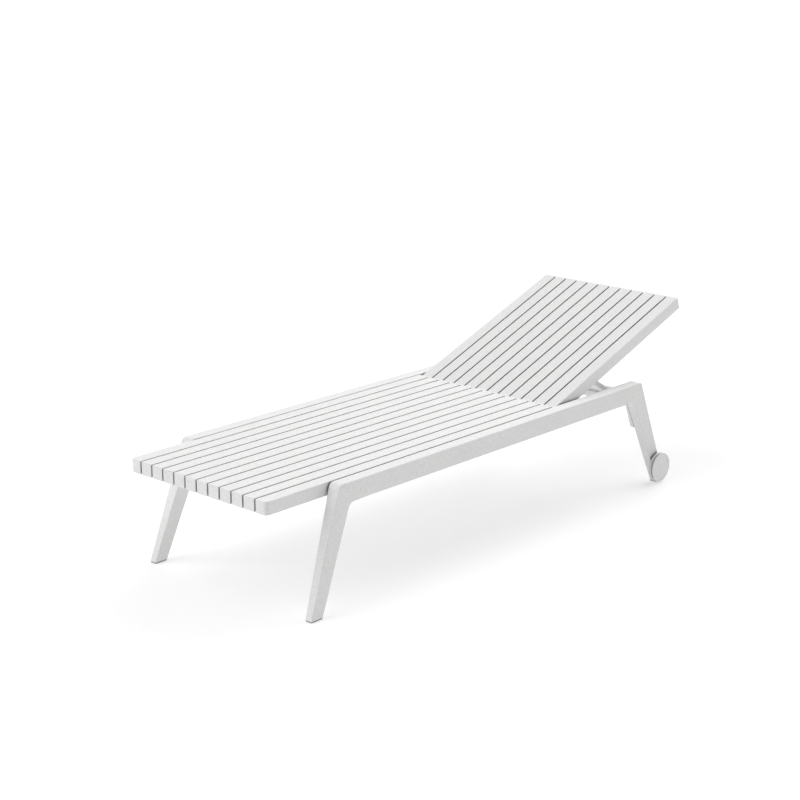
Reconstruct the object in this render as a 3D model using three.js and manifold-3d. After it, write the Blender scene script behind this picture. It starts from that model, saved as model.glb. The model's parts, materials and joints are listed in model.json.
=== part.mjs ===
// A reclining sun lounger in powder-coated aluminium: two splayed side frames, a slatted seat,
// a slatted backrest on two hinge pins, a folding prop in two toothed racks, and two transport wheels.
// Millimetres, +X towards the head end, +Y towards the lounger's left side, +Z up.
// The origin is on the floor, under the middle of the whole lounger as it stands.

import * as THREE from 'three';
import { mergeVertices } from 'three/addons/utils/BufferGeometryUtils.js';
import Module from 'manifold-3d';

const wasm = await Module();
wasm.setup();

// ---------------------------------------------------------------- driving dimensions

const GAP = 0.3;                  // clearance left between pieces that touch
const OVERCUT = 1;                // how far a cutting or joining solid runs past the face it meets
const FULL_TURN = 2 * Math.PI;

const SEAT_HEIGHT = 368;          // floor to the top of the slats
const REST_ANGLE = THREE.MathUtils.degToRad(20);

const SLAT_COUNT = 12;
const SLAT_PITCH = 48;
const SLAT_WIDTH = 43;
const SLAT_DEPTH = 40;
const SLAT_WALL = 1.4;
const SLAT_CORNER = 3;
const END_PLATE = 4;              // plate that closes the free end of a slat
const SLAT_HALF_SPAN = (SLAT_COUNT * SLAT_PITCH - (SLAT_PITCH - SLAT_WIDTH)) / 2;

const SEAT_SLAT_END = 1243.5;     // where the seat slats stop and the seat's end bar starts
const SEAT_END_BAR = 8;           // thickness of the flush bars that close the slats at the hinge
const END_BAR_CORNER = 7;         // plan radius of those bars' ends

const HINGE_X = 1283;             // hinge axis, from the foot end
const HINGE_DEPTH = 14;           // hinge axis below the seat's top plane
const BACK_START = -27;           // ends of the backrest panel, along it from the hinge axis
const BACK_END = 704;

const RAIL_INNER = 290.5;         // half width between the rails
const RAIL_OUTER = 332;
const RAIL_DEPTH = 60;
const RAIL_WALL = 2.2;
const RAIL_START = 306;           // where the rail meets the front leg's corner
const RAIL_STOP = 1596;           // and the rear leg's corner

const LEG_CORNER_STEPS = 5;
const FOOT_INNER = 320.4;         // the legs splay outwards and get thinner towards the floor
const FOOT_OUTER = 345.8;
const GLIDE_DEPTH = 4;
const GLIDE_INSET = 1.5;          // from the leg's faces
const FRONT_LEG = {
  frontTop: 236.3, frontFoot: 103.2, backTop: 298.7, backFoot: 149.5, outerRadius: 20, innerRadius: 28,
};
const REAR_LEG = {
  frontTop: 1615.5, frontFoot: 1764, backTop: 1675.2, backFoot: 1809, outerRadius: 8, innerRadius: 14,
};

const CROSSBAR_DEPTH = 19;        // bars under the slats, inside the depth of the rails
const CROSSBAR_WIDTH = 40;
const SEAT_CROSSBARS = [320, 760, 1196];
const BACK_CROSSBARS = [18, 176, 600];      // the second one carries the prop
const BACK_CROSSBAR_HALF = 236;

const REAR_BAR = { start: 1670, end: 1692, top: -42, bottom: -86 };
const BRACKET_INNER = 288;        // flange that carries the rear bar down the inside of the leg
const BRACKET_TOP = -62;
const BRACKET_BOTTOM = -163;
const BRACKET_LAP = 12;           // how far the flange reaches past the rear bar's front face
const BRACKET_INSET = 6;          // from the leg's back edge

const PROP_PIVOT = { x: 225, z: -37.2 };   // on the backrest, from the hinge axis
const PROP_LENGTH = 148.6;
const PROP_ANGLE = THREE.MathUtils.degToRad(31.8);   // below level, as the lounger stands
const PROP_ARM_RADIUS = 8.5;      // the arm's rounded end at the pivot
const PROP_FOOT_RADIUS = 7.5;     // and at the foot rod
const PROP_FOOT_RISE = 5.2;       // the foot end is cut flat this far above the rod's axis
const PROP_ARM_INNER = 246;
const PROP_ARM_OUTER = 254;
const PROP_WEB = { x: [38, 74], z: [-7, 5] };   // cross web, along and across the arms
const PROP_ROD_RADIUS = 4;
const PROP_ROD_HALF = 284;
const PIVOT_ROD_HALF = 257;
const LUG_THICKNESS = 5;
const LUG_RADIUS = 9;

const RACK_INNER = 272;
const RACK_OUTER = 278;
const RACK_START = 1530;
const RACK_END = 1652;
const RACK_TOP = -55.8;
const RACK_BOTTOM = -80;
const RACK_TEETH = 7;
const RACK_TOOTH = { depth: 6, tip: 0.3, floorStart: 0.5, floorEnd: 0.75 };   // lengths in tooth pitches
const RACK_FOOT_WIDTH = 12;
const RACK_FOOT_DEPTH = 4;
const RACK_FOOT_LAP = 14;         // how far the rack's feet reach under the rail

const PIN_RADIUS = 4;
const PIN_TIP_CLEARANCE = 2;      // from the pin's end to the rail's outer wall
const RUNNING_CLEARANCE = 0.1;
const BUSH_RADIUS = 6.5;
const BUSH_INNER = 241;
const BUSH_FLANGE_RADIUS = 9.5;
const BUSH_FLANGE_CLEARANCE = 1;  // from the flange to the rail

const WHEEL_RADIUS = 50;
const WHEEL_INNER = 347;          // faces of the wheel and its cover, from the middle of the lounger
const WHEEL_OUTER = 360;
const WHEEL_CHAMFER = 2;
const WHEEL_DISH = 2;             // the inner face lies this far back between its hub and its rim
const WHEEL_HUB = 16;
const WHEEL_RIM = 8;
const WHEEL_GROOVE = 3.5;         // depth of the groove between the tread and the cover
const WHEEL_GROOVE_WIDTH = 2;
const BOLT_WELL = { radius: 15, depth: 6 };   // the pocket in the outer face that hides the bolt's head
const COVER_OUTER = 364.8;
const COVER_CHAMFER = 1.2;
const AXLE_X = 1763.5;
const AXLE_HEIGHT = 57;
const AXLE_RADIUS = 5;
const AXLE_HEAD = { radius: 11, depth: 5 };
const AXLE_NUT = { radius: 9, depth: 6.8, standOff: 2.2 };   // standOff clears the leg's sloping face

const ROUND_SIDES = 20;
const NUT_SIDES = 6;
const BORED_ARC_STEPS = 8;        // enough for the pin to turn inside the bore's flats
const WHEEL_SIDES = 40;

// ---------------------------------------------------------------- materials

const coat = new THREE.MeshStandardMaterial({ color: 0xe9e9e7, roughness: 0.62, metalness: 0.0 });
const wheelPlastic = new THREE.MeshStandardMaterial({ color: 0xd9d9d7, roughness: 0.55, metalness: 0.0 });
const glidePlastic = new THREE.MeshStandardMaterial({ color: 0xcfcfcd, roughness: 0.7, metalness: 0.0 });
const bushPlastic = new THREE.MeshStandardMaterial({ color: 0x55575a, roughness: 0.6, metalness: 0.0 });
const steel = new THREE.MeshStandardMaterial({ color: 0xb8babd, roughness: 0.35, metalness: 1.0 });

// ---------------------------------------------------------------- solids

function bare(geometry) {
  const plain = geometry.index ? geometry.toNonIndexed() : geometry.clone();
  plain.deleteAttribute('normal');
  plain.deleteAttribute('uv');
  return mergeVertices(plain, 1e-4);
}

function toSolid(geometry) {
  const merged = bare(geometry);
  const mesh = new wasm.Mesh({
    numProp: 3,
    vertProperties: new Float32Array(merged.attributes.position.array),
    triVerts: new Uint32Array(merged.index.array),
  });
  return new wasm.Manifold(mesh);
}

function fromSolid(solid) {
  const mesh = solid.getMesh();
  const geometry = new THREE.BufferGeometry();
  geometry.setAttribute('position', new THREE.BufferAttribute(mesh.vertProperties, 3));
  geometry.setIndex(new THREE.BufferAttribute(mesh.triVerts, 1));
  return geometry;
}

function cut(geometry, ...tools) {
  let solid = toSolid(geometry);
  for (const tool of tools) {
    solid = solid.subtract(toSolid(tool));
  }
  return fromSolid(solid);
}

function join(...geometries) {
  let solid = toSolid(geometries[0]);
  for (const geometry of geometries.slice(1)) {
    solid = solid.add(toSolid(geometry));
  }
  return fromSolid(solid);
}

function block(x0, x1, y0, y1, z0, z1) {
  const box = new THREE.BoxGeometry(x1 - x0, y1 - y0, z1 - z0);
  return box.translate((x0 + x1) / 2, (y0 + y1) / 2, (z0 + z1) / 2);
}

// A round bar along Y between y0 and y1.
function roundBar(x, z, radius, y0, y1, sides = ROUND_SIDES) {
  const bar = new THREE.CylinderGeometry(radius, radius, y1 - y0, sides);
  return bar.translate(x, (y0 + y1) / 2, z);
}

// A ring turned about Y from points [radius, y] that close on themselves.
function turned(points, x, z, sides) {
  const outline = [...points, points[0]].map(([radius, y]) => new THREE.Vector2(radius, y));
  return new THREE.LatheGeometry(outline, sides).translate(x, 0, z);
}

function roundedRectangle(width, height, radius, Kind = THREE.Shape) {
  const path = new Kind();
  const w = width / 2 - radius;
  const h = height / 2 - radius;
  path.absarc(w, h, radius, 0, Math.PI / 2);
  path.absarc(-w, h, radius, Math.PI / 2, Math.PI);
  path.absarc(-w, -h, radius, Math.PI, 1.5 * Math.PI);
  path.absarc(w, -h, radius, 1.5 * Math.PI, FULL_TURN);
  return path;
}

// A section drawn as (y, z), extruded along X from x0 to x1.
function alongX(section, x0, x1, curveSegments = 1) {
  const solid = new THREE.ExtrudeGeometry(section, { depth: x1 - x0, bevelEnabled: false, curveSegments });
  const toX = new THREE.Matrix4().makeBasis(
    new THREE.Vector3(0, 1, 0), new THREE.Vector3(0, 0, 1), new THREE.Vector3(1, 0, 0));
  return solid.applyMatrix4(toX).translate(x0, 0, 0);
}

// A side view drawn as (x, z), extruded along Y from y0 to y1.
function alongY(outline, y0, y1, curveSegments = 4) {
  const solid = new THREE.ExtrudeGeometry(outline, { depth: y1 - y0, bevelEnabled: false, curveSegments });
  return solid.rotateX(Math.PI / 2).translate(0, y1, 0);
}

// A plan drawn as (x, y), extruded up from z0 to z1.
function alongZ(outline, z0, z1, curveSegments = 4) {
  const solid = new THREE.ExtrudeGeometry(outline, { depth: z1 - z0, bevelEnabled: false, curveSegments });
  return solid.translate(0, 0, z0);
}

function part(name, geometry, material) {
  const mesh = new THREE.Mesh(bare(geometry), material);
  mesh.name = name;
  return mesh;
}

// The mirror image across the lounger's middle plane, with its faces turned out again.
function mirrored(geometry) {
  const copy = bare(geometry).scale(1, -1, 1);
  const index = copy.index.array;
  for (let i = 0; i < index.length; i += 3) {
    [index[i], index[i + 1]] = [index[i + 1], index[i]];
  }
  return copy;
}

function bothSides(name, geometry, material) {
  return [part(`${name}_left`, geometry, material), part(`${name}_right`, mirrored(geometry), material)];
}

// ---------------------------------------------------------------- slats

const slatY = (index) => (index - (SLAT_COUNT - 1) / 2) * SLAT_PITCH;
const slatNumber = (index) => String(index + 1).padStart(2, '0');

// A hollow slat whose closed end lies at closedEnd and whose open end at openEnd.
function slat(closedEnd, openEnd, y, top) {
  const outside = roundedRectangle(SLAT_WIDTH, SLAT_DEPTH, SLAT_CORNER);
  const width = SLAT_WIDTH - 2 * SLAT_WALL;
  const depth = SLAT_DEPTH - 2 * SLAT_WALL;
  const inside = roundedRectangle(width, depth, SLAT_CORNER - SLAT_WALL);
  const way = Math.sign(openEnd - closedEnd);
  const boreEnds = [closedEnd + way * END_PLATE, openEnd + way * OVERCUT];
  const body = alongX(outside, Math.min(closedEnd, openEnd), Math.max(closedEnd, openEnd));
  const bore = alongX(inside, Math.min(...boreEnds), Math.max(...boreEnds));
  return cut(body, bore).translate(0, y, top - SLAT_DEPTH / 2);
}

function slatRow(prefix, closedEnd, openEnd, top, holes = []) {
  const slats = [];
  for (let i = 0; i < SLAT_COUNT; i += 1) {
    const hollow = slat(closedEnd, openEnd, slatY(i), top);
    const outermost = i === 0 || i === SLAT_COUNT - 1;
    slats.push(part(`${prefix}_${slatNumber(i)}`, outermost ? cut(hollow, ...holes) : hollow, coat));
  }
  return slats;
}

// The flush bar across the slats' ends at the hinge, with its outer corners rounded in plan.
// open is the side of the bar that faces away from the slats: +1 or -1 along X.
function endBar(name, x0, x1, top, open) {
  const r = END_BAR_CORNER;
  const outline = new THREE.Shape();
  const slatSide = open > 0 ? x0 : x1;
  const outerSide = open > 0 ? x1 : x0;
  const arcX = outerSide - open * r;
  outline.moveTo(slatSide, -SLAT_HALF_SPAN);
  outline.lineTo(arcX, -SLAT_HALF_SPAN);
  outline.absarc(arcX, -SLAT_HALF_SPAN + r, r, -Math.PI / 2, open > 0 ? 0 : -Math.PI, open < 0);
  outline.lineTo(outerSide, SLAT_HALF_SPAN - r);
  outline.absarc(arcX, SLAT_HALF_SPAN - r, r, open > 0 ? 0 : Math.PI, Math.PI / 2, open < 0);
  outline.lineTo(slatSide, SLAT_HALF_SPAN);
  return part(name, alongZ(outline, top - SLAT_DEPTH, top), coat);
}

function crossbar(x, halfSpan, top) {
  return block(x, x + CROSSBAR_WIDTH, -halfSpan, halfSpan, top - CROSSBAR_DEPTH, top - GAP);
}

function makeSeat() {
  const bars = SEAT_CROSSBARS.map(
    (x, i) => part(`seat_crossbar_${i + 1}`, crossbar(x, RAIL_INNER - GAP, -SLAT_DEPTH), coat));
  const barStart = SEAT_SLAT_END + GAP;
  return [
    ...slatRow('seat_slat', 0, SEAT_SLAT_END, 0),
    endBar('seat_end_bar', barStart, barStart + SEAT_END_BAR, 0, 1),
    ...bars,
  ];
}

// ---------------------------------------------------------------- side frames

// Half width of the legs' inner and outer faces at height z below the seat's top plane.
const innerFace = (z) => THREE.MathUtils.mapLinear(-z, 0, SEAT_HEIGHT, RAIL_INNER, FOOT_INNER);
const outerFace = (z) => THREE.MathUtils.mapLinear(-z, 0, SEAT_HEIGHT, RAIL_OUTER, FOOT_OUTER);
const edgeX = (top, foot, z) => THREE.MathUtils.mapLinear(-z, 0, SEAT_HEIGHT, top, foot);

// Adds a rounded corner at b on the way from a to c.
function roundCorner(points, a, b, c, radius) {
  const toA = a.clone().sub(b).normalize();
  const toC = c.clone().sub(b).normalize();
  const half = Math.acos(toA.dot(toC)) / 2;
  const centre = b.clone().add(toA.clone().add(toC).normalize().multiplyScalar(radius / Math.sin(half)));
  const start = b.clone().add(toA.multiplyScalar(radius / Math.tan(half))).sub(centre);
  const end = b.clone().add(toC.multiplyScalar(radius / Math.tan(half))).sub(centre);
  const turn = Math.atan2(start.cross(end), start.dot(end));
  for (let i = 0; i <= LEG_CORNER_STEPS; i += 1) {
    points.push(start.clone().rotateAround(new THREE.Vector2(), (turn * i) / LEG_CORNER_STEPS).add(centre));
  }
}

// One leg with the corner where it meets the rail. joint is the x of the face against the rail.
function legSolid(leg, joint) {
  const foot = GLIDE_DEPTH - SEAT_HEIGHT;
  const front = joint > leg.backTop;
  const outer = front ? [leg.frontTop, leg.frontFoot] : [leg.backTop, leg.backFoot];
  const inner = front ? [leg.backTop, leg.backFoot] : [leg.frontTop, leg.frontFoot];
  const outerTop = new THREE.Vector2(outer[0], 0);
  const outerFoot = new THREE.Vector2(edgeX(...outer, foot), foot);
  const innerFoot = new THREE.Vector2(edgeX(...inner, foot), foot);
  const innerTop = new THREE.Vector2(edgeX(...inner, -RAIL_DEPTH), -RAIL_DEPTH);
  const jointTop = new THREE.Vector2(joint, 0);
  const jointBottom = new THREE.Vector2(joint, -RAIL_DEPTH);
  const points = [jointTop];
  roundCorner(points, jointTop, outerTop, outerFoot, leg.outerRadius);
  points.push(outerFoot, innerFoot);
  roundCorner(points, innerFoot, innerTop, jointBottom, leg.innerRadius);
  points.push(jointBottom);
  const solid = alongY(new THREE.Shape(points), 0, 1);
  const position = solid.attributes.position;
  for (let i = 0; i < position.count; i += 1) {
    const z = position.getZ(i);
    position.setY(i, THREE.MathUtils.lerp(innerFace(z), outerFace(z), position.getY(i)));
  }
  return solid;
}

function makeRail() {
  const width = RAIL_OUTER - RAIL_INNER;
  const section = roundedRectangle(width, RAIL_DEPTH, SLAT_CORNER);
  section.holes.push(
    roundedRectangle(width - 2 * RAIL_WALL, RAIL_DEPTH - 2 * RAIL_WALL, SLAT_CORNER / 3, THREE.Path));
  const tube = alongX(section, RAIL_START + GAP, RAIL_STOP - GAP);
  tube.translate(0, (RAIL_INNER + RAIL_OUTER) / 2, -RAIL_DEPTH / 2);
  const pinHole = roundBar(
    HINGE_X, -HINGE_DEPTH, PIN_RADIUS + GAP, RAIL_INNER - OVERCUT, RAIL_OUTER - RAIL_WALL - OVERCUT);
  return cut(tube, pinHole);
}

function makeGlide(leg) {
  const foot = GLIDE_DEPTH - SEAT_HEIGHT;
  const x0 = edgeX(leg.frontTop, leg.frontFoot, foot) + GLIDE_INSET;
  const x1 = edgeX(leg.backTop, leg.backFoot, foot) - GLIDE_INSET;
  return block(x0, x1, FOOT_INNER + GLIDE_INSET, FOOT_OUTER - GLIDE_INSET, -SEAT_HEIGHT, foot - GAP);
}

function makeSideFrames() {
  const axleZ = AXLE_HEIGHT - SEAT_HEIGHT;
  const axleHole = roundBar(AXLE_X, axleZ, AXLE_RADIUS + GAP, RAIL_INNER, WHEEL_INNER);
  return [
    ...bothSides('rail', makeRail(), coat),
    ...bothSides('front_leg', legSolid(FRONT_LEG, RAIL_START), coat),
    ...bothSides('rear_leg', cut(legSolid(REAR_LEG, RAIL_STOP), axleHole), coat),
    ...bothSides('front_glide', makeGlide(FRONT_LEG), glidePlastic),
    ...bothSides('rear_glide', makeGlide(REAR_LEG), glidePlastic),
  ];
}

// ---------------------------------------------------------------- rear bar, brackets and racks

function makeBracket() {
  const outline = new THREE.Shape();
  const frontAt = (z) => edgeX(REAR_LEG.frontTop, REAR_LEG.frontFoot, z);
  const backAt = (z) => edgeX(REAR_LEG.backTop, REAR_LEG.backFoot, z) - BRACKET_INSET;
  outline.moveTo(frontAt(BRACKET_TOP), BRACKET_TOP);
  outline.lineTo(frontAt(BRACKET_BOTTOM), BRACKET_BOTTOM);
  outline.lineTo(backAt(BRACKET_BOTTOM), BRACKET_BOTTOM);
  outline.lineTo(REAR_BAR.end, REAR_BAR.bottom);
  outline.lineTo(REAR_BAR.end, REAR_BAR.top);
  outline.lineTo(REAR_BAR.start - BRACKET_LAP, REAR_BAR.top);
  outline.lineTo(REAR_BAR.start - BRACKET_LAP, BRACKET_TOP);
  const solid = alongY(outline, 0, 1);
  const position = solid.attributes.position;
  for (let i = 0; i < position.count; i += 1) {
    const face = innerFace(position.getZ(i)) - GAP;
    position.setY(i, THREE.MathUtils.lerp(BRACKET_INNER, face, position.getY(i)));
  }
  return solid;
}

// A toothed plate inside the rail, on two feet that are fixed under the rail.
function makeRack() {
  const pitch = (RACK_END - RACK_START) / RACK_TEETH;
  const outline = new THREE.Shape();
  outline.moveTo(RACK_START, RACK_BOTTOM);
  outline.lineTo(RACK_END, RACK_BOTTOM);
  for (let i = RACK_TEETH; i > 0; i -= 1) {
    const x = RACK_START + i * pitch;
    outline.lineTo(x, RACK_TOP);
    outline.lineTo(x - RACK_TOOTH.tip * pitch, RACK_TOP);
    outline.lineTo(x - RACK_TOOTH.floorStart * pitch, RACK_TOP - RACK_TOOTH.depth);
    outline.lineTo(x - RACK_TOOTH.floorEnd * pitch, RACK_TOP - RACK_TOOTH.depth);
  }
  outline.lineTo(RACK_START, RACK_TOP);
  const plate = alongY(outline, RACK_INNER, RACK_OUTER);
  const footReach = RAIL_INNER + RACK_FOOT_LAP;
  const footTop = -RAIL_DEPTH - GAP;
  const feet = [RACK_START + RACK_FOOT_WIDTH, RAIL_STOP - 2 * RACK_FOOT_WIDTH].map((x) => block(
    x, x + RACK_FOOT_WIDTH, RACK_OUTER - OVERCUT, footReach, footTop - RACK_FOOT_DEPTH, footTop));
  return join(plate, ...feet);
}

function makeSupports() {
  const half = BRACKET_INNER - GAP;
  const bar = block(REAR_BAR.start, REAR_BAR.end, -half, half, REAR_BAR.bottom, REAR_BAR.top);
  return [
    part('rear_crossbar', bar, coat),
    ...bothSides('rear_bracket', makeBracket(), coat),
    ...bothSides('ratchet_rack', makeRack(), coat),
  ];
}

// ---------------------------------------------------------------- hinge

function makeHingePins() {
  const tip = RAIL_OUTER - RAIL_WALL - PIN_TIP_CLEARANCE;
  const pin = roundBar(HINGE_X, -HINGE_DEPTH, PIN_RADIUS, BUSH_INNER, tip);
  return bothSides('hinge_pin', pin, steel);
}

// In the backrest's own frame, whose origin is on the hinge axis.
function makeHingeBushes() {
  const bore = PIN_RADIUS + RUNNING_CLEARANCE;
  const flangeStart = SLAT_HALF_SPAN + GAP;
  const flangeEnd = RAIL_INNER - BUSH_FLANGE_CLEARANCE;
  const bush = turned([
    [bore, BUSH_INNER],
    [BUSH_RADIUS, BUSH_INNER],
    [BUSH_RADIUS, flangeStart],
    [BUSH_FLANGE_RADIUS, flangeStart],
    [BUSH_FLANGE_RADIUS, flangeEnd],
    [bore, flangeEnd],
  ], 0, 0, ROUND_SIDES);
  return bothSides('hinge_bush', bush, bushPlastic);
}

// ---------------------------------------------------------------- backrest

// A bar under the slats with a lug at each end that holds the prop's pivot rod.
function makePropBar(x, halfSpan, top) {
  const outline = new THREE.Shape();
  const pivot = PROP_PIVOT;
  outline.moveTo(x, top - GAP);
  outline.lineTo(x, top - CROSSBAR_DEPTH);
  outline.lineTo(pivot.x, pivot.z - LUG_RADIUS);
  outline.absarc(pivot.x, pivot.z, LUG_RADIUS, -Math.PI / 2, 0);
  outline.lineTo(pivot.x + LUG_RADIUS, top - GAP);
  const bore = new THREE.Path();
  bore.absarc(pivot.x, pivot.z, PIN_RADIUS + GAP, 0, FULL_TURN);
  outline.holes.push(bore);
  const lug = alongY(outline, halfSpan, halfSpan + LUG_THICKNESS, BORED_ARC_STEPS);
  const bar = crossbar(x, halfSpan + OVERCUT, top);
  return join(bar, lug, mirrored(lug));
}

// The prop lies along +X from its pivot, in the prop's own frame.
function makeProp() {
  const outline = new THREE.Shape();
  const cutAngle = Math.asin(PROP_FOOT_RISE / PROP_FOOT_RADIUS);
  outline.absarc(0, 0, PROP_ARM_RADIUS, Math.PI / 2, 1.5 * Math.PI);
  outline.absarc(PROP_LENGTH, 0, PROP_FOOT_RADIUS, -Math.PI / 2, cutAngle);
  for (const [x, radius] of [[0, PIN_RADIUS + GAP], [PROP_LENGTH, PROP_ROD_RADIUS + GAP]]) {
    const bore = new THREE.Path();
    bore.absarc(x, 0, radius, 0, FULL_TURN);
    outline.holes.push(bore);
  }
  const arm = alongY(outline, PROP_ARM_INNER, PROP_ARM_OUTER, BORED_ARC_STEPS);
  const rod = roundBar(PROP_LENGTH, 0, PROP_ROD_RADIUS, -PROP_ROD_HALF, PROP_ROD_HALF);
  const webHalf = PROP_ARM_INNER + OVERCUT;
  const web = block(...PROP_WEB.x, -webHalf, webHalf, ...PROP_WEB.z);
  const prop = new THREE.Group();
  prop.add(
    part('prop_frame', join(arm, mirrored(arm), web), coat),
    part('prop_foot_rod', rod, steel),
  );
  prop.position.set(PROP_PIVOT.x, 0, PROP_PIVOT.z);
  prop.rotation.y = REST_ANGLE + PROP_ANGLE;
  return prop;
}

function makeBackrest() {
  const top = HINGE_DEPTH;
  const slatStart = BACK_START + SEAT_END_BAR + GAP;
  const holeHalf = SLAT_HALF_SPAN + OVERCUT;
  const bushHole = roundBar(0, 0, BUSH_RADIUS + GAP, -holeHalf, holeHalf);
  const under = top - SLAT_DEPTH;
  const [lowBar, propBar, highBar] = BACK_CROSSBARS;
  const pivotRod = roundBar(PROP_PIVOT.x, PROP_PIVOT.z, PIN_RADIUS, -PIVOT_ROD_HALF, PIVOT_ROD_HALF);
  const backrest = new THREE.Group();
  backrest.add(
    ...slatRow('back_slat', BACK_END, slatStart, top, [bushHole]),
    endBar('back_end_bar', BACK_START, BACK_START + SEAT_END_BAR, top, -1),
    part('back_crossbar_low', crossbar(lowBar, BACK_CROSSBAR_HALF, under), coat),
    part('back_crossbar_prop', makePropBar(propBar, BACK_CROSSBAR_HALF, under), coat),
    part('back_crossbar_high', crossbar(highBar, BACK_CROSSBAR_HALF, under), coat),
    part('prop_pivot_rod', pivotRod, steel),
    ...makeHingeBushes(),
    makeProp(),
  );
  backrest.position.set(HINGE_X, 0, -HINGE_DEPTH);
  backrest.rotation.y = -REST_ANGLE;
  return backrest;
}

// ---------------------------------------------------------------- wheels

function makeWheel(z) {
  const bore = AXLE_RADIUS + RUNNING_CLEARANCE;
  const grooveRadius = WHEEL_RADIUS - WHEEL_GROOVE;
  const grooveStart = WHEEL_OUTER - WHEEL_GROOVE_WIDTH;
  return turned([
    [bore, WHEEL_INNER],
    [WHEEL_HUB, WHEEL_INNER],
    [WHEEL_HUB + WHEEL_DISH, WHEEL_INNER + WHEEL_DISH],
    [WHEEL_RADIUS - WHEEL_RIM, WHEEL_INNER + WHEEL_DISH],
    [WHEEL_RADIUS - WHEEL_RIM + WHEEL_DISH, WHEEL_INNER],
    [WHEEL_RADIUS - WHEEL_CHAMFER, WHEEL_INNER],
    [WHEEL_RADIUS, WHEEL_INNER + WHEEL_CHAMFER],
    [WHEEL_RADIUS, grooveStart - WHEEL_CHAMFER],
    [WHEEL_RADIUS - WHEEL_CHAMFER, grooveStart],
    [grooveRadius, grooveStart],
    [grooveRadius, WHEEL_OUTER],
    [BOLT_WELL.radius, WHEEL_OUTER],
    [BOLT_WELL.radius, WHEEL_OUTER - BOLT_WELL.depth],
    [bore, WHEEL_OUTER - BOLT_WELL.depth],
  ], AXLE_X, z, WHEEL_SIDES);
}

function makeCover(z) {
  const inner = WHEEL_OUTER + GAP;
  const outline = [
    new THREE.Vector2(0, inner),
    new THREE.Vector2(WHEEL_RADIUS - COVER_CHAMFER, inner),
    new THREE.Vector2(WHEEL_RADIUS, inner + COVER_CHAMFER),
    new THREE.Vector2(WHEEL_RADIUS, COVER_OUTER - COVER_CHAMFER),
    new THREE.Vector2(WHEEL_RADIUS - COVER_CHAMFER, COVER_OUTER),
    new THREE.Vector2(0, COVER_OUTER),
  ];
  return new THREE.LatheGeometry(outline, WHEEL_SIDES).translate(AXLE_X, 0, z);
}

function makeBolt(z) {
  const headStart = WHEEL_OUTER - BOLT_WELL.depth + GAP;
  const nutEnd = innerFace(z) - AXLE_NUT.standOff;
  const nutStart = nutEnd - AXLE_NUT.depth;
  return join(
    roundBar(AXLE_X, z, AXLE_RADIUS, nutStart, headStart + OVERCUT),
    roundBar(AXLE_X, z, AXLE_HEAD.radius, headStart, headStart + AXLE_HEAD.depth),
    roundBar(AXLE_X, z, AXLE_NUT.radius, nutStart, nutEnd, NUT_SIDES),
  );
}

function makeWheels() {
  const z = AXLE_HEIGHT - SEAT_HEIGHT;
  return [
    ...bothSides('wheel', makeWheel(z), wheelPlastic),
    ...bothSides('wheel_cover', makeCover(z), coat),
    ...bothSides('axle_bolt', makeBolt(z), steel),
  ];
}

// ---------------------------------------------------------------- the lounger

const lounger = new THREE.Group();
lounger.name = 'sun_lounger';
lounger.add(
  ...makeSeat(),
  ...makeSideFrames(),
  ...makeSupports(),
  ...makeHingePins(),
  makeBackrest(),
  ...makeWheels(),
);

const headEnd = HINGE_X + BACK_END * Math.cos(REST_ANGLE) + (SLAT_DEPTH - HINGE_DEPTH) * Math.sin(REST_ANGLE);
lounger.position.set(-headEnd / 2, 0, SEAT_HEIGHT);

export default lounger;
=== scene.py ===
"""Looks of a white powder-coated sun lounger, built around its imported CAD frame. Metres throughout."""

import json
import math

import bmesh
import bpy
from mathutils import Matrix, Vector


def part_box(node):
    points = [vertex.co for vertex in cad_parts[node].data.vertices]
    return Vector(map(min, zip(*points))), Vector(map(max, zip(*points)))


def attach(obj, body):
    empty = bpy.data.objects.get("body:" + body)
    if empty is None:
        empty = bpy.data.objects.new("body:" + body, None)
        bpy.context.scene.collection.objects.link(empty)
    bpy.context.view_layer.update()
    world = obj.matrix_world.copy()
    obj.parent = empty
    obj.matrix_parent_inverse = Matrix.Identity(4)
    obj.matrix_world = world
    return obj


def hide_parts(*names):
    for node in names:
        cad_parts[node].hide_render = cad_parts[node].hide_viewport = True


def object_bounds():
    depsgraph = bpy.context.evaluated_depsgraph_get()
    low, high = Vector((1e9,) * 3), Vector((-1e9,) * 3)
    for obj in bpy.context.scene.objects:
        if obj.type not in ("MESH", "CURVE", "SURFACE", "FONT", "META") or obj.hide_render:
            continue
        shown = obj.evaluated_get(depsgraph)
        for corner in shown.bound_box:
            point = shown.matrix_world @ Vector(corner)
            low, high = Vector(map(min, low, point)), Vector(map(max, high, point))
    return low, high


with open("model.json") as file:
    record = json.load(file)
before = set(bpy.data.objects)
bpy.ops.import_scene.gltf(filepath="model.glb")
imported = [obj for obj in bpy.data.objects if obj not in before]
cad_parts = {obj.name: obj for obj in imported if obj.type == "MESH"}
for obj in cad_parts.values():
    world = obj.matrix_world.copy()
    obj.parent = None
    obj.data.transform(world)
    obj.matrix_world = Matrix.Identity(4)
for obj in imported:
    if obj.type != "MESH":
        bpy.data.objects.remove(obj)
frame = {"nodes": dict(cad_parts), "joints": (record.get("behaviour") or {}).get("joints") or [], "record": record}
cad_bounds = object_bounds()

# ------------------------------------------------------------------ driving sizes

REST_ANGLE = math.radians(20)     # the backrest's slope as the lounger stands
SLAT_COUNT = 12
SLAT_EDGE = 0.0020                # rounding of the slats' long edges
FOOT_CORNER = 0.013               # plan rounding of the seat's corners at the foot end
HEAD_CORNER = 0.004               # and of the backrest's corners at the head end
HINGE_CORNER = 0.0075             # and of both panels' corners at the hinge
WELD_LAP = 0.0006                 # how far a slat runs into the bar it is welded to

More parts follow.
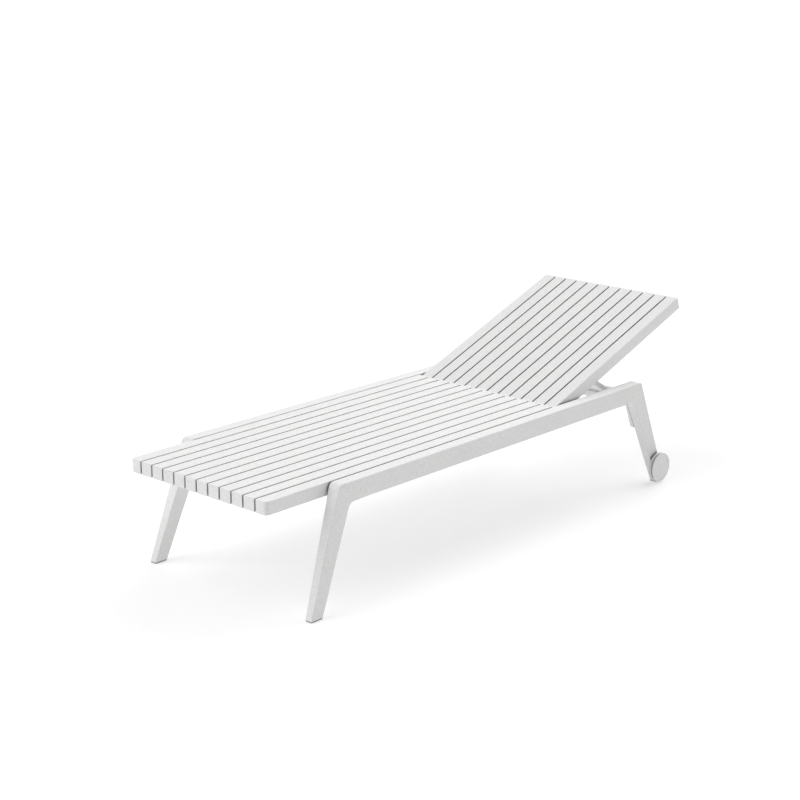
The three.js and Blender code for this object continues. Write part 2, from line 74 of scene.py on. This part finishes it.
# Edges of the legs in side view, at the level of the seat's top and at the floor, from the foot end.
FRONT_LEG = {"outer_top": 0.2363, "outer_foot": 0.1032, "inner_top": 0.2987, "inner_foot": 0.1495,
             "outer_radius": 0.020, "inner_radius": 0.028}
REAR_LEG = {"outer_top": 1.6752, "outer_foot": 1.8090, "inner_top": 1.6155, "inner_foot": 1.7640,
            "outer_radius": 0.008, "inner_radius": 0.014}
FOOT_INNER = 0.3204               # half widths over the legs at the floor
FOOT_OUTER = 0.3458
SPLAY_FADE = 0.080                # length of rail over which the legs' splay fades out
FRAME_EDGE = 0.0028               # rounding of the side frames' long edges
CORNER_STEPS = 12
FADE_STEPS = 8
EDGE_STEPS = 4

PLATE_EDGE = 0.0007               # rounding of plates, bars, glides and pins
BAR_EDGE = 0.0015
GLIDE_EDGE = 0.0010
PIN_EDGE = 0.0006

WHEEL_SIDES = 128
PIN_SIDES = 48

ROUNDED_ABOVE = math.radians(30)  # edges that bend more than this are rounded
FLAT_BELOW = math.radians(0.5)    # faces that bend less than this are one face
NEAR = 1e-5                       # lengths closer than this are the same
ARC_MARGIN = 1.01

SEAT_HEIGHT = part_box("seat_slat_01")[1].z
FOOT_END = cad_bounds[0].x

BODY_OF = {node: body for body, nodes in frame["record"]["behaviour"]["bodies"].items() for node in nodes}
SLOT_OF = {row["node"]: row["material_slot"] for row in frame["record"]["subparts"]}

# ------------------------------------------------------------------ materials

PAINTED_SHADE_REACH = 0.010             # painted shade darkens the colour where another face stands nearer than this
PAINTED_SHADE_DARKNESS = 0.10              # colour of full painted shade in a crevice, over the open paint's
PAINTED_SHADE_RANGE = (0.25, 0.75)      # openness at which the painted shade is full, and at which it ends
OCCLUSION_SAMPLES = 8
WEAR_WIDTH = 0.0012
WEAR_RANGE = (0.90, 0.995)        # cosine of the bend at a fully rubbed edge and at an unrubbed one
WEAR_SAMPLES = 4
FLECK_SIZE = 0.004                # the rubbed edges break up into flecks
FLECK_STRENGTH = 0.6
FLECK_RANGE = (0.52, 0.68)
LUMP_RATIO = 2.2                  # the coarse lumps' size and height over the fine grain's
PATCH_SIZE = 0.16
SPECKLE = 0.90                    # colour of the lumps' high noise values over the paint's shade
SPECKLE_RANGE = (0.35, 0.65)
ROUGHNESS_DRIFT = 0.07


def noise(tree, position, size, detail=2.0, roughness=0.5):
    """A noise value between 0 and 1 whose lumps are about that size across."""
    node = tree.nodes.new("ShaderNodeTexNoise")
    node.inputs["Scale"].default_value = 1 / size
    node.inputs["Detail"].default_value = detail
    node.inputs["Roughness"].default_value = roughness
    tree.links.new(position, node.inputs["Vector"])
    return node.outputs["Fac"]


def spread(tree, value, low, high, start=0.3, end=0.7):
    """Maps a value's range from start to end onto low to high, and stops there."""
    node = tree.nodes.new("ShaderNodeMapRange")
    node.inputs["From Min"].default_value = start
    node.inputs["From Max"].default_value = end
    node.inputs["To Min"].default_value = low
    node.inputs["To Max"].default_value = high
    tree.links.new(value, node.inputs["Value"])
    return node.outputs["Result"]


def mixed(tree, factor, first, second):
    """A colour between first and second. Either can be a socket or three numbers."""
    node = tree.nodes.new("ShaderNodeMix")
    node.data_type = "RGBA"
    tree.links.new(factor, node.inputs[0])
    for socket, colour in ((node.inputs[6], first), (node.inputs[7], second)):
        if isinstance(colour, bpy.types.NodeSocket):
            tree.links.new(colour, socket)
        else:
            socket.default_value = (*colour, 1)
    return node.outputs[2]


def bumped(tree, height, depth, normal=None):
    node = tree.nodes.new("ShaderNodeBump")
    node.inputs["Distance"].default_value = depth
    tree.links.new(height, node.inputs["Height"])
    if normal:
        tree.links.new(normal, node.inputs["Normal"])
    return node.outputs["Normal"]


def edge_wear(tree, width):
    """1 along rounded edges and 0 on flat faces, from how much the normal bends within that width."""
    bevel = tree.nodes.new("ShaderNodeBevel")
    bevel.samples = WEAR_SAMPLES
    bevel.inputs["Radius"].default_value = width
    geometry = tree.nodes.new("ShaderNodeNewGeometry")
    dot = tree.nodes.new("ShaderNodeVectorMath")
    dot.operation = "DOT_PRODUCT"
    tree.links.new(bevel.outputs["Normal"], dot.inputs[0])
    tree.links.new(geometry.outputs["Normal"], dot.inputs[1])
    return spread(tree, dot.outputs["Value"], 1.0, 0.0, *WEAR_RANGE)


def painted_crevice_shade(tree, reach):
    """Mask of painted shade: 1 deep in narrow gaps and 0 on open faces, from how much stands within that reach."""
    node = tree.nodes.new("ShaderNodeAmbientOcclusion")
    node.samples = OCCLUSION_SAMPLES
    node.inputs["Distance"].default_value = reach
    return spread(tree, node.outputs["AO"], 1.0, 0.0, *PAINTED_SHADE_RANGE)


def surface(name, colour, shade, roughness, grain, depth, metallic=0.0, worn=None):
    """A coated, moulded or drawn surface.

    grain is the size of the texture's lumps and depth their height. shade is the colour that the surface
    drifts to in large soft patches, and worn is the colour of its rubbed edges.
    """
    material = bpy.data.materials.new(name)
    material.use_nodes = True
    tree = material.node_tree
    shader = tree.nodes["Principled BSDF"]
    position = tree.nodes.new("ShaderNodeTexCoord").outputs["Object"]
    fine = noise(tree, position, grain, detail=3.0, roughness=0.6)
    lumps = noise(tree, position, LUMP_RATIO * grain)
    patches = noise(tree, position, PATCH_SIZE, detail=3.0)
    paint = mixed(tree, spread(tree, patches, 0, 1), colour, shade)
    speckled = [SPECKLE * part for part in shade]
    paint = mixed(tree, spread(tree, lumps, 0, 1, *SPECKLE_RANGE), paint, speckled)
    if worn:
        flecks = noise(tree, position, FLECK_SIZE, detail=4.0)
        rubbed = tree.nodes.new("ShaderNodeMath")
        rubbed.operation = "MULTIPLY"
        tree.links.new(edge_wear(tree, WEAR_WIDTH), rubbed.inputs[0])
        tree.links.new(spread(tree, flecks, 0.0, FLECK_STRENGTH, *FLECK_RANGE), rubbed.inputs[1])
        paint = mixed(tree, rubbed.outputs["Value"], paint, worn)
    # painted shade: the base colour darkens in gaps and crevices where another face stands near
    paint = mixed(tree, painted_crevice_shade(tree, PAINTED_SHADE_REACH), paint, [PAINTED_SHADE_DARKNESS * part for part in colour])
    tree.links.new(paint, shader.inputs["Base Color"])
    uneven = spread(tree, lumps, roughness - ROUGHNESS_DRIFT, roughness + ROUGHNESS_DRIFT)
    tree.links.new(uneven, shader.inputs["Roughness"])
    normal = bumped(tree, lumps, LUMP_RATIO * depth, bumped(tree, fine, depth))
    tree.links.new(normal, shader.inputs["Normal"])
    shader.inputs["Metallic"].default_value = metallic
    return material


MATERIALS = {
    "white_powder_coat": surface(
        "white_powder_coat", (0.85, 0.85, 0.845), (0.83, 0.83, 0.825), 0.58, 0.0016, 0.00026,
        worn=(0.68, 0.68, 0.67)),
    "steel": surface(
        "steel", (0.58, 0.59, 0.60), (0.50, 0.51, 0.52), 0.33, 0.0005, 0.00001, metallic=1.0),
    "bush_plastic": surface(
        "bush_plastic", (0.045, 0.047, 0.05), (0.03, 0.032, 0.035), 0.55, 0.0007, 0.00002),
    "wheel_plastic": surface(
        "wheel_plastic", (0.76, 0.76, 0.755), (0.70, 0.70, 0.69), 0.5, 0.0009, 0.00003),
    "glide_plastic": surface(
        "glide_plastic", (0.62, 0.62, 0.61), (0.52, 0.52, 0.51), 0.6, 0.0009, 0.00003),
}

# ------------------------------------------------------------------ mesh helpers


def new_piece(mesh, *nodes):
    """An object that stands for CAD nodes, on their body and with their finish."""
    piece = bpy.data.objects.new(mesh.name, mesh)
    bpy.context.scene.collection.objects.link(piece)
    mesh.materials.clear()
    mesh.materials.append(MATERIALS[SLOT_OF[nodes[0]]])
    mesh.shade_smooth()
    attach(piece, BODY_OF[nodes[0]])
    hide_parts(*nodes)
    return piece


def round_edges(piece, width, segments=3, weighted=False):
    modifier = piece.modifiers.new("rounded edges", "BEVEL")
    modifier.width = width
    modifier.segments = segments
    modifier.limit_method = "WEIGHT" if weighted else "ANGLE"
    modifier.angle_limit = ROUNDED_ABOVE
    modifier.harden_normals = True


def flat_faces(piece):
    """Keeps flat faces evenly lit beside rounded ones."""
    modifier = piece.modifiers.new("face normals", "WEIGHTED_NORMAL")
    modifier.keep_sharp = True


def mesh_from(name, points, faces):
    mesh = bpy.data.meshes.new(name)
    mesh.from_pydata(points, [], faces)
    build = bmesh.new()
    build.from_mesh(mesh)
    bmesh.ops.recalc_face_normals(build, faces=build.faces)
    build.to_mesh(mesh)
    build.free()
    return mesh


def loft(name, rings, closed_ends=True):
    """A skin over rings of the same number of points."""
    count = len(rings[0])
    points = [point for ring in rings for point in ring]
    faces = []
    for row in range(len(rings) - 1):
        for i in range(count):
            j = (i + 1) % count
            start = row * count
            faces.append((start + i, start + j, start + count + j, start + count + i))
    if closed_ends:
        faces.append(tuple(range(count)))
        faces.append(tuple(range(len(points) - count, len(points))))
    return mesh_from(name, points, faces)


def corner_arc(before, corner, after, radius, steps):
    """Points of the arc that rounds a corner, on the way from before to after."""
    to_before = (before - corner).normalized()
    to_after = (after - corner).normalized()
    half = to_before.angle(to_after) / 2
    centre = corner + (to_before + to_after).normalized() * radius / math.sin(half)
    start = corner + to_before * radius / math.tan(half) - centre
    end = corner + to_after * radius / math.tan(half) - centre
    turn = math.atan2(start.x * end.y - start.y * end.x, start.dot(end))
    return [centre + Matrix.Rotation(turn * i / steps, 2) @ start for i in range(steps + 1)]


def smooth_step(value):
    return value * value * (3 - 2 * value)


# ------------------------------------------------------------------ slats and end bars

recline = next(joint for joint in frame["joints"] if joint["name"] == "backrest_recline")
SEAT_PLACING = Matrix.Identity(4)
BACK_PLACING = Matrix.Translation(recline["pos_m"]) @ Matrix.Rotation(-REST_ANGLE, 4, "Y")


def local_box(node, placing):
    """Lowest and highest corner of a CAD node in the frame that placing turns into the row frame."""
    back = placing.inverted()
    points = [back @ vertex.co for vertex in frame["nodes"][node].data.vertices]
    low = Vector(min(point[axis] for point in points) for axis in range(3))
    high = Vector(max(point[axis] for point in points) for axis in range(3))
    return low, high


def make_bar(node, placing, free_end, free_radii, lap=0.0):
    """A slat or end bar with rounded edges.

    free_end is -1 or 1 for the end along X that is open to view. free_radii are the plan radii of its
    corners at low y and at high y. lap is how far the other end runs on into its neighbour.
    """
    low, high = local_box(node, placing)
    free_x = high.x if free_end > 0 else low.x
    held_x = (low.x if free_end > 0 else high.x) - free_end * lap
    low_held, low_free = Vector((held_x, low.y)), Vector((free_x, low.y))
    high_free, high_held = Vector((free_x, high.y)), Vector((held_x, high.y))
    outline = [low_held]
    for before, corner, after, radius in (
        (low_held, low_free, high_free, free_radii[0]),
        (low_free, high_free, high_held, free_radii[1]),
    ):
        outline += corner_arc(before, corner, after, radius, CORNER_STEPS) if radius else [corner]
    outline.append(high_held)
    rings = [[Vector((point.x, point.y, z)) for point in outline] for z in (low.z, high.z)]
    mesh = loft(f"{node}_finished", rings)
    weight = mesh.attributes.new("bevel_weight_edge", "FLOAT", "EDGE")
    sharp = []
    for edge in mesh.edges:
        first, second = (mesh.vertices[i].co for i in edge.vertices)
        middle = (first + second) / 2
        upright = abs(second.z - first.z) > NEAR
        held = abs(middle.x - held_x) < NEAR
        in_arc = upright and any(
            radius and abs(middle.y - y) < ARC_MARGIN * radius
            for radius, y in zip(free_radii, (low.y, high.y)))
        weight.data[edge.index].value = 0.0 if held or in_arc else 1.0
        if held:
            sharp.append(edge.index)
    mesh.transform(placing)
    piece = new_piece(mesh, node)
    for index in sharp:
        mesh.edges[index].use_edge_sharp = True
    round_edges(piece, SLAT_EDGE, segments=4, weighted=True)


def make_panel(slat_name, bar_name, placing, free_end, corner):
    for number in range(1, SLAT_COUNT + 1):
        radii = (corner if number == 1 else 0, corner if number == SLAT_COUNT else 0)
        make_bar(f"{slat_name}_{number:02d}", placing, free_end, radii, WELD_LAP)
    make_bar(bar_name, placing, -free_end, (HINGE_CORNER, HINGE_CORNER))


make_panel("seat_slat", "seat_end_bar", SEAT_PLACING, -1, FOOT_CORNER)
make_panel("back_slat", "back_end_bar", BACK_PLACING, 1, HEAD_CORNER)

# ------------------------------------------------------------------ side frames


def side_view(x_from_foot, z):
    return Vector((FOOT_END + x_from_foot, z))


def leg_stations(leg, rail_x, under):
    """(outer point, inner point) pairs in side view, from the foot up and round the corner to the rail."""
    foot_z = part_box("front_leg_left")[0].z
    share = foot_z / SEAT_HEIGHT
    outer_foot = side_view(leg["outer_foot"], 0).lerp(side_view(leg["outer_top"], SEAT_HEIGHT), share)
    inner_foot = side_view(leg["inner_foot"], 0).lerp(side_view(leg["inner_top"], SEAT_HEIGHT), share)
    outer_corner = side_view(leg["outer_top"], SEAT_HEIGHT)
    inner_corner = side_view(leg["inner_foot"], 0).lerp(
        side_view(leg["inner_top"], SEAT_HEIGHT), under / SEAT_HEIGHT)
    outer = corner_arc(
        outer_foot, outer_corner, Vector((rail_x, SEAT_HEIGHT)), leg["outer_radius"], CORNER_STEPS)
    inner = corner_arc(
        inner_foot, inner_corner, Vector((rail_x, under)), leg["inner_radius"], CORNER_STEPS)
    return [(outer_foot, inner_foot)] + list(zip(outer, inner))


def frame_ring(outer, inner, splay, side, inner_half, outer_half, inset=0.0):
    """The rounded section between an outer and an inner point. splay is 1 on a leg and 0 on the rail."""
    across = outer - inner
    width = across.length
    across.normalize()
    radius = FRAME_EDGE
    ring = []
    for quarter, (along, out) in enumerate(((1, 1), (-1, 1), (-1, -1), (1, -1))):
        for i in range(EDGE_STEPS + 1):
            angle = math.pi / 2 * (quarter + i / EDGE_STEPS)
            reach = radius * math.cos(angle) + (width / 2 - radius - inset) * along
            point = inner + across * (width / 2 + reach)
            fall = splay * (SEAT_HEIGHT - point.y) / SEAT_HEIGHT
            near = inner_half + (FOOT_INNER - inner_half) * fall
            far = outer_half + (FOOT_OUTER - outer_half) * fall
            y = (near + far) / 2 + radius * math.sin(angle) + ((far - near) / 2 - radius - inset) * out
            ring.append(Vector((point.x, side * y, point.y)))
    return ring


def make_side_frame(name, side):
    """Front leg, rail and rear leg as one welded and ground frame."""
    nodes = [f"rail_{name}", f"front_leg_{name}", f"rear_leg_{name}"]
    low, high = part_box(nodes[0])
    inner_half, outer_half = sorted((abs(low.y), abs(high.y)))
    stations = []
    front = leg_stations(FRONT_LEG, high.x, low.z)
    rear = leg_stations(REAR_LEG, low.x, low.z)
    for leg, way in ((front, 1), (rear, -1)):
        row = [(outer, inner, 1.0) for outer, inner in leg]
        start = max(point.x * way for point in leg[-1]) * way
        for i in range(1, FADE_STEPS + 1):
            share = i / FADE_STEPS
            x = start + way * SPLAY_FADE * share
            row.append((Vector((x, SEAT_HEIGHT)), Vector((x, low.z)), 1 - smooth_step(share)))
        stations += row[::way]
    rings = [frame_ring(*station, side, inner_half, outer_half) for station in stations]
    first, last = (frame_ring(*station, side, inner_half, outer_half, PLATE_EDGE)
                   for station in (stations[0], stations[-1]))
    for ring in (rings[0], rings[-1]):
        for point in ring:
            point.z += PLATE_EDGE
    piece = new_piece(loft(f"side_frame_{name}", [first, *rings, last]), *nodes)
    flat_faces(piece)


make_side_frame("left", 1)
make_side_frame("right", -1)

# ------------------------------------------------------------------ bars and plates


def make_carried(node, width):
    """A piece with the CAD node's own shape, its flat faces whole again and its edges rounded."""
    build = bmesh.new()
    build.from_mesh(frame["nodes"][node].data)
    bmesh.ops.remove_doubles(build, verts=build.verts, dist=1e-6)
    bmesh.ops.dissolve_limit(build, angle_limit=FLAT_BELOW, verts=build.verts, edges=build.edges)
    bmesh.ops.recalc_face_normals(build, faces=build.faces)
    mesh = bpy.data.meshes.new(f"{node}_finished")
    build.to_mesh(mesh)
    build.free()
    piece = new_piece(mesh, node)
    round_edges(piece, width)


for node in ("seat_crossbar_1", "seat_crossbar_2", "seat_crossbar_3", "back_crossbar_low",
             "back_crossbar_high", "rear_crossbar"):
    make_carried(node, BAR_EDGE)
for node in ("back_crossbar_prop", "prop_frame", "rear_bracket_left", "rear_bracket_right",
             "ratchet_rack_left", "ratchet_rack_right"):
    make_carried(node, PLATE_EDGE)
for leg in ("front", "rear"):
    for name in ("left", "right"):
        make_carried(f"{leg}_glide_{name}", GLIDE_EDGE)

# ------------------------------------------------------------------ turned pieces


def make_turned(node, profile, width=PIN_EDGE, sides=PIN_SIDES):
    """A piece turned about the CAD node's own axis, which lies along Y.

    profile holds (radius, distance out from the lounger's middle) and closes on itself or on the axis.
    """
    low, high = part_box(node)
    centre = (low + high) / 2
    side = 1 if centre.y > -1e-6 else -1
    rings = []
    for radius, out in profile:
        angles = [2 * math.pi * i / sides for i in range(sides)]
        rings.append([Vector((
            centre.x + radius * math.cos(angle),
            side * out,
            centre.z + radius * math.sin(angle))) for angle in angles])
    bored = profile[0][0] > 0
    if bored:
        rings.append(rings[0])
    mesh = loft(f"{node}_finished", rings, closed_ends=False)
    build = bmesh.new()
    build.from_mesh(mesh)
    bmesh.ops.remove_doubles(build, verts=build.verts, dist=1e-7)
    bmesh.ops.recalc_face_normals(build, faces=build.faces)
    build.to_mesh(mesh)
    build.free()
    piece = new_piece(mesh, node)
    round_edges(piece, width)
    return piece


def spans(node):
    """Radius of a round CAD node, and its ends measured out from the lounger's middle."""
    low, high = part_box(node)
    ends = (low.y, high.y) if high.y + low.y > -1e-6 else (-high.y, -low.y)
    return (high.z - low.z) / 2, *ends


def make_rod(node):
    radius, start, end = spans(node)
    make_turned(node, [(0, start), (radius, start), (radius, end), (0, end)])


BUSH_RADIUS = 0.0065
BOLT_RADIUS = 0.005
BUSH_BORE = 0.0042
FLANGE_THICKNESS = 0.0035

for node in ("prop_pivot_rod", "prop_foot_rod", "hinge_pin_left", "hinge_pin_right"):
    make_rod(node)
for node in ("hinge_bush_left", "hinge_bush_right"):
    flange, start, end = spans(node)
    make_turned(node, [
        (BUSH_BORE, start), (BUSH_RADIUS, start), (BUSH_RADIUS, end - FLANGE_THICKNESS),
        (flange, end - FLANGE_THICKNESS), (flange, end), (BUSH_BORE, end)])

# ------------------------------------------------------------------ wheels

WHEEL_RIM = 0.008                 # width of the rim that stands proud on the inner face
WHEEL_DISH = 0.003
WHEEL_HUB = 0.016
TREAD_EDGE = 0.0016
GROOVE = 0.0035                   # depth and width of the groove between the tread and the cover
GROOVE_WIDTH = 0.0022
BOLT_WELL = 0.015
BOLT_WELL_DEPTH = 0.006
COVER_EDGE = 0.0012
COVER_STEP = 0.0006               # the cover's flat middle lies this far back from its rim
COVER_RIM = 0.0042
NUT_RADIUS = 0.009
NUT_DEPTH = 0.0055
WASHER_RADIUS = 0.0105
WASHER_DEPTH = 0.0012
HEAD_DEPTH = 0.005


def make_wheel(name):
    wheel, cover, bolt = (f"{kind}_{name}" for kind in ("wheel", "wheel_cover", "axle_bolt"))
    radius, inner, outer = spans(wheel)
    groove_start = outer - GROOVE_WIDTH
    make_turned(wheel, [
        (BOLT_RADIUS, inner),
        (WHEEL_HUB, inner),
        (WHEEL_HUB + WHEEL_DISH, inner + WHEEL_DISH),
        (radius - WHEEL_RIM - WHEEL_DISH, inner + WHEEL_DISH),
        (radius - WHEEL_RIM, inner),
        (radius - TREAD_EDGE, inner),
        (radius, inner + TREAD_EDGE),
        (radius, groove_start - TREAD_EDGE),
        (radius - TREAD_EDGE, groove_start),
        (radius - GROOVE, groove_start),
        (radius - GROOVE, outer),
        (BOLT_WELL, outer),
        (BOLT_WELL, outer - BOLT_WELL_DEPTH),
        (BOLT_RADIUS, outer - BOLT_WELL_DEPTH),
    ], PLATE_EDGE, WHEEL_SIDES)
    radius, inner, outer = spans(cover)
    make_turned(cover, [
        (0, inner),
        (radius - COVER_EDGE, inner),
        (radius, inner + COVER_EDGE),
        (radius, outer - COVER_EDGE),
        (radius - COVER_EDGE, outer),
        (radius - COVER_RIM, outer),
        (radius - COVER_RIM - COVER_STEP, outer - COVER_STEP),
        (0, outer - COVER_STEP),
    ], PIN_EDGE, WHEEL_SIDES)
    radius, inner, outer = spans(bolt)
    make_turned(bolt, [
        (0, inner),
        (BOLT_RADIUS, inner),
        (BOLT_RADIUS, inner + NUT_DEPTH),
        (WASHER_RADIUS, inner + NUT_DEPTH),
        (WASHER_RADIUS, inner + NUT_DEPTH + WASHER_DEPTH),
        (BOLT_RADIUS, inner + NUT_DEPTH + WASHER_DEPTH),
        (BOLT_RADIUS, outer - HEAD_DEPTH),
        (radius, outer - HEAD_DEPTH),
        (radius, outer),
        (0, outer),
    ])


make_wheel("left")
make_wheel("right")

# ------------------------------------------------------------------ floor, light and camera

FLOOR_HALF = 60.0
FLOOR_DROP = 0.0002               # the floor lies just under the feet
FLOOR_SHADE = 0.60
FLOOR_GLOW = 0.48                 # keeps the floor white, with faint shadows

SUN_SPREAD = math.radians(60)
SUNS = {                          # where each light shines from, and its strength
    "overhead": ((0.0, 0.05, 1.0), 0.95),
    "foot_side": ((-1.0, 0.6, 0.9), 1.70),
    "head_side": ((1.0, 0.1, 0.7), 1.70),
    "near_side": ((0.6, -0.8, 0.4), 0.68),
}

CAMERA_YAW = math.radians(47.43)  # from +Y towards +X
CAMERA_DROP = math.radians(16.07)
CAMERA_DISTANCE = 5.639           # from the point that it aims at
CAMERA_AIM = Vector((-0.0443, 0.0823, 0.0812))    # from the middle of the lounger's box
CAMERA_LENS = 79.48               # millimetres, on a sensor 36 mm wide

middle = (cad_bounds[0] + cad_bounds[1]) / 2


def make_floor():
    corners = [(-1, -1), (1, -1), (1, 1), (-1, 1)]
    points = [(x * FLOOR_HALF, y * FLOOR_HALF, cad_bounds[0].z - FLOOR_DROP) for x, y in corners]
    mesh = mesh_from("floor", points, [(0, 1, 2, 3)])
    material = bpy.data.materials.new("floor")
    material.use_nodes = True
    shader = material.node_tree.nodes["Principled BSDF"]
    shader.inputs["Base Color"].default_value = (FLOOR_SHADE, FLOOR_SHADE, FLOOR_SHADE, 1)
    shader.inputs["Roughness"].default_value = 1.0
    shader.inputs["Specular IOR Level"].default_value = 0.0
    shader.inputs["Emission Color"].default_value = (1, 1, 1, 1)
    shader.inputs["Emission Strength"].default_value = FLOOR_GLOW
    mesh.materials.append(material)
    floor = bpy.data.objects.new("floor", mesh)
    bpy.context.scene.collection.objects.link(floor)


def make_sun(name, direction, power):
    """A broad soft light that shines from that direction."""
    data = bpy.data.lights.new(name, "SUN")
    data.angle = SUN_SPREAD
    data.energy = power
    light = bpy.data.objects.new(name, data)
    light.rotation_mode = "QUATERNION"
    light.rotation_quaternion = (-Vector(direction)).to_track_quat("-Z", "Y")
    bpy.context.scene.collection.objects.link(light)


def make_world():
    """A white backdrop that shows, and shines in reflections, but leaves the lighting to the lamps."""
    world = bpy.data.worlds.new("studio")
    world.use_nodes = True
    background = world.node_tree.nodes["Background"]
    background.inputs["Color"].default_value = (1, 1, 1, 1)
    background.inputs["Strength"].default_value = 1.0
    world.cycles_visibility.diffuse = False
    bpy.context.scene.world = world


def make_camera():
    data = bpy.data.cameras.new("camera")
    data.lens = CAMERA_LENS
    camera = bpy.data.objects.new("camera", data)
    forward = Vector((
        math.sin(CAMERA_YAW) * math.cos(CAMERA_DROP),
        math.cos(CAMERA_YAW) * math.cos(CAMERA_DROP),
        -math.sin(CAMERA_DROP)))
    camera.location = middle + CAMERA_AIM - forward * CAMERA_DISTANCE
    camera.rotation_mode = "QUATERNION"
    camera.rotation_quaternion = forward.to_track_quat("-Z", "Y")
    bpy.context.scene.collection.objects.link(camera)
    bpy.context.scene.camera = camera


make_floor()
make_world()
for name, (direction, power) in SUNS.items():
    make_sun(name, direction, power)
make_camera()
bpy.context.scene.view_settings.view_transform = "Standard"
